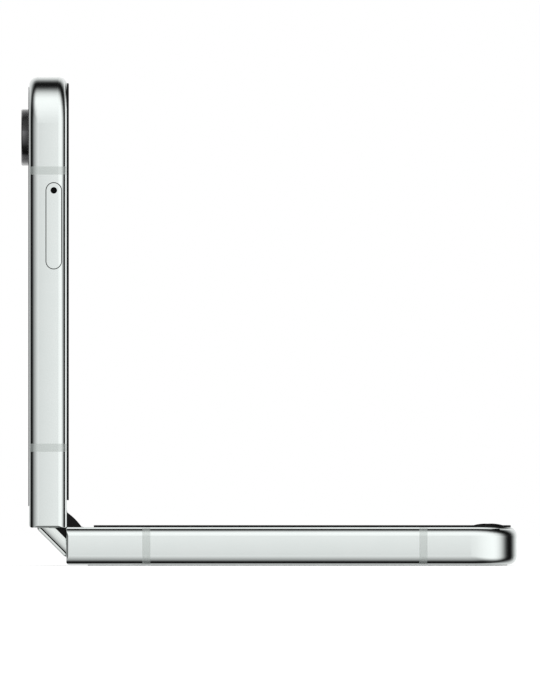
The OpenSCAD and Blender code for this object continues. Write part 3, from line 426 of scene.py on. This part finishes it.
window_glass = window_sheet("camera_window")
lamp_lens = lamp_sheet("lamp_lens")
sound_mesh = woven_mesh("sound_mesh", pitch=0.16)
black_plastic = textured("black_plastic", (0.007, 0.007, 0.007), (0.010, 0.010, 0.010),
                         rough=0.42, scale=14.0, depth=0.01, shine=0.06)
rubber = textured("bumper_rubber", (0.006, 0.006, 0.006), (0.010, 0.010, 0.010),
                  rough=0.55, scale=10.0, depth=0.02, shine=0.08)
laminate = textured("board_laminate", (0.012, 0.06, 0.035), (0.02, 0.085, 0.05),
                    rough=0.35, scale=3.0, depth=0.02)
foil = textured("battery_foil", (0.02, 0.02, 0.023), (0.03, 0.03, 0.034), rough=0.35, scale=1.2, depth=0.05)

by_slot = {
    "mint_glass": mint_glass, "black_glass": cover_black, "display_panel": screen,
    "black_plastic": black_plastic, "bumper_rubber": rubber, "band_plastic": band_lower,
    "ring_metal": ring_steel, "lamp_lens": lamp_lens, "battery_foil": foil,
    "board_laminate": laminate, "copper_parts": copper, "steel_parts": steel,
}
by_node = {
    "lower_frame": frame_lower, "upper_frame": frame_upper, "hinge_spine": spine_metal,
    "upper_antenna_bands": band_upper, "card_tray": frame_upper, "power_key": key_metal,
    "volume_key": key_metal, "camera_windows": window_glass, "camera_modules": black_plastic,
    "front_camera": black_plastic, "lower_idler_gears": gear_steel, "upper_idler_gears": gear_steel,
}


def dress(thing, finish):
    thing.data.materials.clear()
    thing.data.materials.append(finish)


for part in record["subparts"]:
    name = part["node"]
    dress(nodes[name], by_node.get(name) or by_slot[part["material_slot"]])

# The small pieces. All their places and lengths are in millimetres. A face or an edge counts as
# lying along an axis from a cosine of FACING on.
CUBE = bpy.ops.mesh.primitive_cube_add
CYLINDER = bpy.ops.mesh.primitive_cylinder_add
BALL = bpy.ops.mesh.primitive_uv_sphere_add
PLANE = bpy.ops.mesh.primitive_plane_add
ALONG_X = (0, math.pi / 2, 0)
ALONG_Y = (math.pi / 2, 0, 0)
SMOOTH_BELOW = math.radians(35)
FACING = 0.9


def deselect():
    bpy.ops.object.select_all(action="DESELECT")


def select_only(thing):
    deselect()
    thing.select_set(True)
    bpy.context.view_layer.objects.active = thing


def start(name, add, turned=(0, 0, 0), stretch=(1, 1, 1), at=(0, 0, 0), **sizes):
    """Adds a primitive at its place and goes into edit mode. Its lengths are given as floats."""
    deselect()
    metres = {key: value * MM if isinstance(value, float) else value for key, value in sizes.items()}
    add(location=Vector(at) * MM, rotation=turned, **metres)
    thing = bpy.context.object
    thing.name = name
    thing.scale = stretch
    bpy.ops.object.transform_apply(location=True, rotation=True, scale=True)
    bpy.ops.object.mode_set(mode="EDIT")
    return thing


def choose(thing, kind, test):
    """Selects the faces, edges or points that pass the test. It gets the middle of each, and the
    normal of a face or point or the direction of an edge."""
    bpy.ops.mesh.select_mode(type=kind)
    bpy.ops.mesh.select_all(action="DESELECT")
    bpy.ops.object.mode_set(mode="OBJECT")
    mesh = thing.data
    if kind == "FACE":
        for face in mesh.polygons:
            face.select = test(face.center / MM, face.normal)
    elif kind == "VERT":
        for point in mesh.vertices:
            point.select = test(point.co / MM, point.normal)
    else:
        for edge in mesh.edges:
            a, b = (mesh.vertices[v] for v in edge.vertices)
            edge.select = test((a.co + b.co) / 2 / MM, (a.co - b.co).normalized())
    bpy.ops.object.mode_set(mode="EDIT")


def sink(inset, depth, way):
    """Insets the chosen face and moves its middle by depth along way."""
    bpy.ops.mesh.inset(thickness=inset * MM, use_even_offset=True)
    bpy.ops.mesh.extrude_region_move(TRANSFORM_OT_translate={"value": Vector(way) * depth * MM})


def soften(width, segments):
    bpy.ops.mesh.bevel(offset=width * MM, offset_type="OFFSET", segments=segments, affect="EDGES")


def close_up():
    """Turns every face outwards and leaves edit mode."""
    bpy.ops.mesh.select_all(action="SELECT")
    bpy.ops.mesh.normals_make_consistent(inside=False)
    bpy.ops.object.mode_set(mode="OBJECT")


def twin(thing, name, shift):
    """A copy with its own mesh, moved by shift."""
    select_only(thing)
    bpy.ops.object.duplicate_move(TRANSFORM_OT_translate={"value": Vector(shift) * MM})
    made = bpy.context.object
    made.name = name
    bpy.ops.object.transform_apply(location=True, rotation=True, scale=True)
    return made


def hand_over(thing, finish, body=None):
    select_only(thing)
    bpy.ops.object.shade_smooth_by_angle(angle=SMOOTH_BELOW)
    dress(thing, finish)
    if body:
        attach(thing, body)


# The bend of the display: one sheet in two pieces that meet over the spine
BEND_X, BEND_Z, BEND_R = -37.436, 10.7, 3.7
SHEET_T, SHEET_W = 0.35, 64.3
BEND_STEPS = 20
EIGHTH = math.pi / 4


def bend_point(turn, radius=BEND_R):
    return Vector((BEND_X - radius * math.sin(turn), 0, BEND_Z - radius * math.cos(turn)))


def bend_piece(name, turn):
    """The part of the bend that begins at turn and covers an eighth of a circle."""
    piece = start(name, PLANE, size=1.0, at=bend_point(turn, BEND_R + SHEET_T / 2),
                  stretch=(SHEET_T, SHEET_W, 1), turned=(0, math.pi / 2 + turn, 0))
    bpy.ops.mesh.select_all(action="SELECT")
    bpy.ops.mesh.spin(steps=BEND_STEPS, angle=-EIGHTH, center=Vector((BEND_X, 0, BEND_Z)) * MM,
                      axis=(0, 1, 0))
    close_up()
    return piece


bends = [bend_piece("bend_sheet_lower", 0.0), bend_piece("bend_sheet_upper", EIGHTH)]
for piece, turn, bodies in zip(bends, (0, EIGHTH), (("lower_half", "spine"), ("spine", "upper_half"))):
    hand_over(piece, screen)
    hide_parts("display_fold")
    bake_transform(piece)


# Lenses in stepped hoods behind the camera windows and in the hole of the display
def hood_and_lens(name, face_x, y, z, out, rim, depth, bulge, steps):
    """A tube of radius rim and its lens. out is the way the lens looks along x, and steps are pairs
    of inset and depth that lead in to the lens."""
    hood = start(name + "_hood", CYLINDER, at=(face_x - out * depth / 2, y, z), turned=ALONG_X,
                 vertices=96, radius=rim, depth=depth)
    choose(hood, "FACE", lambda at, way: way.x * out > FACING)
    for inset, down in steps:
        sink(inset, down, (-out, 0, 0))
    close_up()
    seat_r = rim - sum(inset for inset, _ in steps)
    seat_x = face_x - out * sum(down for _, down in steps)
    ball_r = (seat_r ** 2 + bulge ** 2) / (2 * bulge)
    lens = start(name + "_lens", BALL, at=(seat_x + out * (bulge - ball_r), y, z), turned=ALONG_X,
                 segments=96, ring_count=144, radius=ball_r)
    bpy.ops.mesh.select_all(action="SELECT")
    bpy.ops.mesh.bisect(plane_co=(seat_x * MM, 0, 0), plane_no=(-out, 0, 0), use_fill=True,
                        clear_outer=True, threshold=1e-8)
    close_up()
    return hood, lens


WINDOW_BACK_X, DISPLAY_X = -48.85, -41.2
hood, lens = hood_and_lens(
    "camera", WINDOW_BACK_X, CAMERA_YS[0], CAMERA_Z, out=-1, rim=2.4, depth=0.6, bulge=0.34,
    steps=[(0.2, 0.1), (0.1, 0.0), (0.1, 0.1), (0.1, 0.06), (0.08, 0.06)])
to_far = (0, CAMERA_YS[1] - CAMERA_YS[0], 0)
far_hood, far_lens = twin(hood, "camera_hood_far", to_far), twin(lens, "camera_lens_far", to_far)
for at_y, tube, glass in ((CAMERA_YS[1], far_hood, far_lens), (CAMERA_YS[0], hood, lens)):
    hand_over(tube, black_plastic, "upper_half")
    coating = coated_lens(f"coated_lens_{at_y:.0f}", (0.03, 0.012, 0.05), (0.012, 0.05, 0.06),
                          at_y, CAMERA_Z, radius=1.9)
    hand_over(glass, coating, "upper_half")

hood, lens = hood_and_lens(
    "front_camera", DISPLAY_X, 0, FRONT_CAMERA_Z, out=1, rim=1.7, depth=0.34, bulge=0.12,
    steps=[(0.3, 0.08), (0.2, 0.06)])
hand_over(hood, black_plastic, "upper_half")
coating = coated_lens("coated_lens_front", (0.012, 0.014, 0.05), (0.03, 0.014, 0.045),
                      0, FRONT_CAMERA_Z, radius=1.2)
hand_over(lens, coating, "upper_half")

# Port: tongue with its plated contacts above and below
PORT_Z = 3.625
TONGUE_X, TONGUE_L, TONGUE_W, TONGUE_T = 36.8, 5.8, 6.84, 0.8
CONTACT_X, CONTACT_L, CONTACT_W, CONTACT_T = 37.9, 3.0, 0.25, 0.04
CONTACTS, CONTACT_PITCH = 12, 0.5

tongue = start("port_tongue", CUBE, at=(TONGUE_X, 0, PORT_Z), size=1.0,
               stretch=(TONGUE_L, TONGUE_W, TONGUE_T))
tip_from = TONGUE_X + TONGUE_L / 2 - 0.1
choose(tongue, "EDGE", lambda at, way: at.x > tip_from or abs(way.x) > FACING)
soften(width=0.14, segments=3)
close_up()
hand_over(tongue, black_plastic, "lower_half")

contact_z = PORT_Z + TONGUE_T / 2
contacts = start("port_contacts", CUBE, at=(CONTACT_X, (1 - CONTACTS) * CONTACT_PITCH / 2, contact_z),
                 size=1.0, stretch=(CONTACT_L, CONTACT_W, CONTACT_T))
choose(contacts, "EDGE", lambda at, way: at.z > contact_z + CONTACT_T / 4)
soften(width=0.012, segments=1)
close_up()
row = contacts.modifiers.new("row", "ARRAY")
row.count = CONTACTS
row.use_relative_offset = False
row.use_constant_offset = True
row.constant_offset_displace = (0, CONTACT_PITCH * MM, 0)
bpy.ops.object.modifier_apply(modifier="row")
bpy.ops.object.mode_set(mode="EDIT")
bpy.ops.mesh.select_all(action="SELECT")
bpy.ops.mesh.duplicate_move(TRANSFORM_OT_translate={"value": (0, 0, -TONGUE_T * MM)})
close_up()
hand_over(contacts, gold, "lower_half")

# Wire cloth behind the sound holes and the microphone holes, each piece with a sunk face
CLOTH_T, DIMPLE = 0.1, 0.03
STRIP_X, STRIP_Y, STRIP_L, STRIP_H = 40.1, 17.3, 15.9, 1.5
DISC_R = 0.5

strip = start("speaker_cloth", CUBE, at=(STRIP_X, STRIP_Y, PORT_Z), size=1.0,
              stretch=(CLOTH_T, STRIP_L, STRIP_H))
choose(strip, "FACE", lambda at, way: way.x > FACING)
sink(inset=0.06, depth=DIMPLE, way=(-1, 0, 0))
close_up()
hand_over(strip, sound_mesh, "lower_half")

for name, at, turned, inwards, body in (
        ("microphone_cloth_lower", (40.35, -8.97, PORT_Z), ALONG_X, Vector((-1, 0, 0)), "lower_half"),
        ("microphone_cloth_upper", (-44.511, 18.15, 88.5), (0, 0, 0), Vector((0, 0, -1)), "upper_half")):
    disc = start(name, CYLINDER, at=at, turned=turned, vertices=32, radius=DISC_R, depth=CLOTH_T)
    choose(disc, "FACE", lambda at, way: way.dot(inwards) < -FACING)
    sink(inset=0.08, depth=DIMPLE, way=inwards)
    close_up()
    hand_over(disc, sound_mesh, body)

# Rubber seal in the gap round the face of the tray: a long ring, open in its middle. Its black
# also stands in for the shade deep in the gap, as painted shade.
SEAL_OUT, SEAL_WALL, SEAL_Y, SEAL_DEPTH = 0.075, 0.12, -35.55, 0.6
seal = start("tray_seal", CYLINDER, at=(TRAY_X, SEAL_Y, TRAY_Z), turned=ALONG_Y,
             vertices=64, radius=FACE_H / 2 + SEAL_OUT, depth=SEAL_DEPTH)
to_end = (FACE_L - FACE_H) / 2 * MM
choose(seal, "VERT", lambda at, way: at.z > TRAY_Z)
bpy.ops.transform.translate(value=(0, 0, to_end))
choose(seal, "VERT", lambda at, way: at.z < TRAY_Z + 0.001)
bpy.ops.transform.translate(value=(0, 0, -to_end))
choose(seal, "FACE", lambda at, way: abs(way.y) > FACING)
bpy.ops.mesh.inset(thickness=SEAL_WALL * MM, use_even_offset=True)
bpy.ops.mesh.bridge_edge_loops()
close_up()
hand_over(seal, rubber, "card_tray")

# Dark closed sleeve in the eject hole of the tray
SLEEVE_Y, EJECT_Z = -35.3, 68.516
SLEEVE_R, SLEEVE_L, SLEEVE_WALL, SLEEVE_BORE = 0.585, 1.0, 0.06, 0.85
sleeve = start("eject_sleeve", CYLINDER, at=(TRAY_X, SLEEVE_Y, EJECT_Z), turned=ALONG_Y,
               vertices=48, radius=SLEEVE_R, depth=SLEEVE_L)
choose(sleeve, "FACE", lambda at, way: way.y < -FACING)
sink(SLEEVE_WALL, SLEEVE_BORE, (0, 1, 0))
close_up()
hand_over(sleeve, black_plastic, "card_tray")

# The studio, in metres. The world shows plain white and lights the phone with a slightly green
# white. The floor shows white too and keeps the phone's shadow.
FLOOR_SIZE, FLOOR_GLOW = 24, 0.62


def background_rays(shop):
    path = shop.node("ShaderNodeLightPath").socket.node.outputs
    camera_ray, glossy_ray, transmission_ray = (
        Wire(shop, path[name]) for name in ("Is Camera Ray", "Is Glossy Ray", "Is Transmission Ray"))
    return camera_ray.at_least(glossy_ray).at_least(transmission_ray)


world = bpy.data.worlds.new("studio")
bpy.context.scene.world = world
air = Shop(world)
lit = air.node("ShaderNodeBackground", None, {"Color": (0.97, 0.985, 0.98, 1), "Strength": 1.0})
plain = air.node("ShaderNodeBackground", None, {"Color": (1, 1, 1, 1), "Strength": 1.0})
both = air.node("ShaderNodeMixShader", None, {0: background_rays(air), 1: lit, 2: plain})
air.node("ShaderNodeOutputWorld", None, {"Surface": both})

deselect()
bpy.ops.mesh.primitive_grid_add(x_subdivisions=4, y_subdivisions=4, size=FLOOR_SIZE, location=(0, 0, 0))
floor = bpy.context.object
floor.name = "studio_floor"
ground = new_finish("floor_white")
paper_tone = ground.tint(ground.noise(ground.place(), 0.004), (0.85, 0.85, 0.85), (0.88, 0.88, 0.88))
paper = ground.node("ShaderNodeBsdfDiffuse", None, {"Color": paper_tone})
half_paper = ground.node("ShaderNodeBsdfDiffuse", None, {"Color": (0.5, 0.5, 0.5, 1)})
glow = ground.node("ShaderNodeEmission", None, {"Color": (1, 1, 1, 1), "Strength": FLOOR_GLOW})
shown = ground.node("ShaderNodeAddShader", None, {0: half_paper, 1: glow})
white = ground.surface(
    ground.node("ShaderNodeMixShader", None, {0: background_rays(ground), 1: paper, 2: shown}))
dress(floor, white)
floor.visible_glossy = False

# Light tent: what the polished metal reflects. Bright in front and behind, dark in between,
# with the dark band further round on the side of the display.
TENT_R, TENT_STRENGTH = 8, 1.35
METAL_TONE = 0.75
SIDE_BLEND = 0.45

deselect()
bpy.ops.mesh.primitive_uv_sphere_add(segments=48, ring_count=24, radius=TENT_R, location=(0, 0, 0))
tent = bpy.context.object
tent.name = "light_tent"
bpy.ops.object.shade_smooth()
veil = new_finish("tent_cloth")
aim = veil.vector("NORMALIZE", {0: veil.node("ShaderNodeTexCoord", out="Object")})
dx, dy, dz = veil.split(aim)
from_front = veil.math("ARCCOSINE", dy * -1.0) / math.pi


def linear(level):
    """Light of a level from 0 to 255 of the finished picture."""
    v = level / 255
    return v / 12.92 if v < 0.04045 else ((v + 0.055) / 1.055) ** 2.4


def band(points):
    """Light round the tent, from degrees off the front and the level that the metal shows."""
    made = veil.node("ShaderNodeValToRGB", None, {0: from_front})
    ramp = made.socket.node.color_ramp
    while len(ramp.elements) < len(points):
        ramp.elements.new(0.5)
    for element, (degrees, level) in zip(ramp.elements, points):
        light = min(1.0, linear(level) / METAL_TONE / TENT_STRENGTH)
        element.position = degrees / 180
        element.color = (light, light, light, 1)
    return made


front_band = band([
    (0, 224), (20, 238), (40, 249), (57, 254), (66, 250), (74, 234), (81, 212), (88, 170), (95, 110),
    (101, 55), (107, 22), (118, 14), (124, 60), (131, 118), (138, 165), (145, 198), (155, 218), (180, 230)])
back_band = band([
    (0, 224), (12, 213), (27, 188), (40, 170), (55, 144), (66, 96), (76, 45), (85, 12), (101, 12),
    (110, 70), (121, 158), (136, 198), (180, 218)])

# 1 on the side of the display, -1 on the side of the back glass
side = (dx + dz) * 0.7 / (1.0 - dy * dy).at_least(0.0001) ** 0.5
share = veil.node("ShaderNodeMapRange", {"interpolation_type": "SMOOTHSTEP"},
                  {"Value": side, "From Min": -SIDE_BLEND, "From Max": SIDE_BLEND})
tone = veil.node("ShaderNodeMix", {"data_type": "RGBA"},
                 {"Factor": share, 6: back_band, 7: front_band}, out=2)
dress(tent, veil.surface(veil.node("ShaderNodeEmission", None, {"Color": tone, "Strength": TENT_STRENGTH})))
for ray in ("camera", "diffuse", "transmission", "volume_scatter", "shadow"):
    setattr(tent, "visible_" + ray, False)

# The phone is seen square on from the side of the card tray, through a very long lens.
# The camera stands level with the inner corner, so both display faces are edge-on.
PICTURE_W, PICTURE_H = 540, 700
PITCH = 0.18254 * MM
SENSOR, FOCAL = 36, 1250
corner = Vector((-0.0412, -0.03595, 0.0071))
corner_px = Vector((66.3, 526.8))
centre_px = Vector((PICTURE_W / 2, PICTURE_H / 2))
target = corner + Vector(((centre_px.x - corner_px.x) * PITCH, 0, (corner_px.y - centre_px.y) * PITCH))
eye = corner + Vector((0, -PICTURE_H * PITCH / SENSOR * FOCAL, 0))

lens_data = bpy.data.cameras.new("camera")
lens_data.type = "PERSP"
lens_data.sensor_fit = "VERTICAL"
lens_data.sensor_width = SENSOR
lens_data.sensor_height = SENSOR
lens_data.lens = FOCAL
lens_data.clip_start = 0.1
lens_data.clip_end = 40
camera = bpy.data.objects.new("camera", lens_data)
bpy.context.scene.collection.objects.link(camera)
camera.location = eye
camera.rotation_euler = (target - eye).to_track_quat("-Z", "Y").to_euler()

scene = bpy.context.scene
scene.camera = camera
scene.view_settings.view_transform = "Standard"
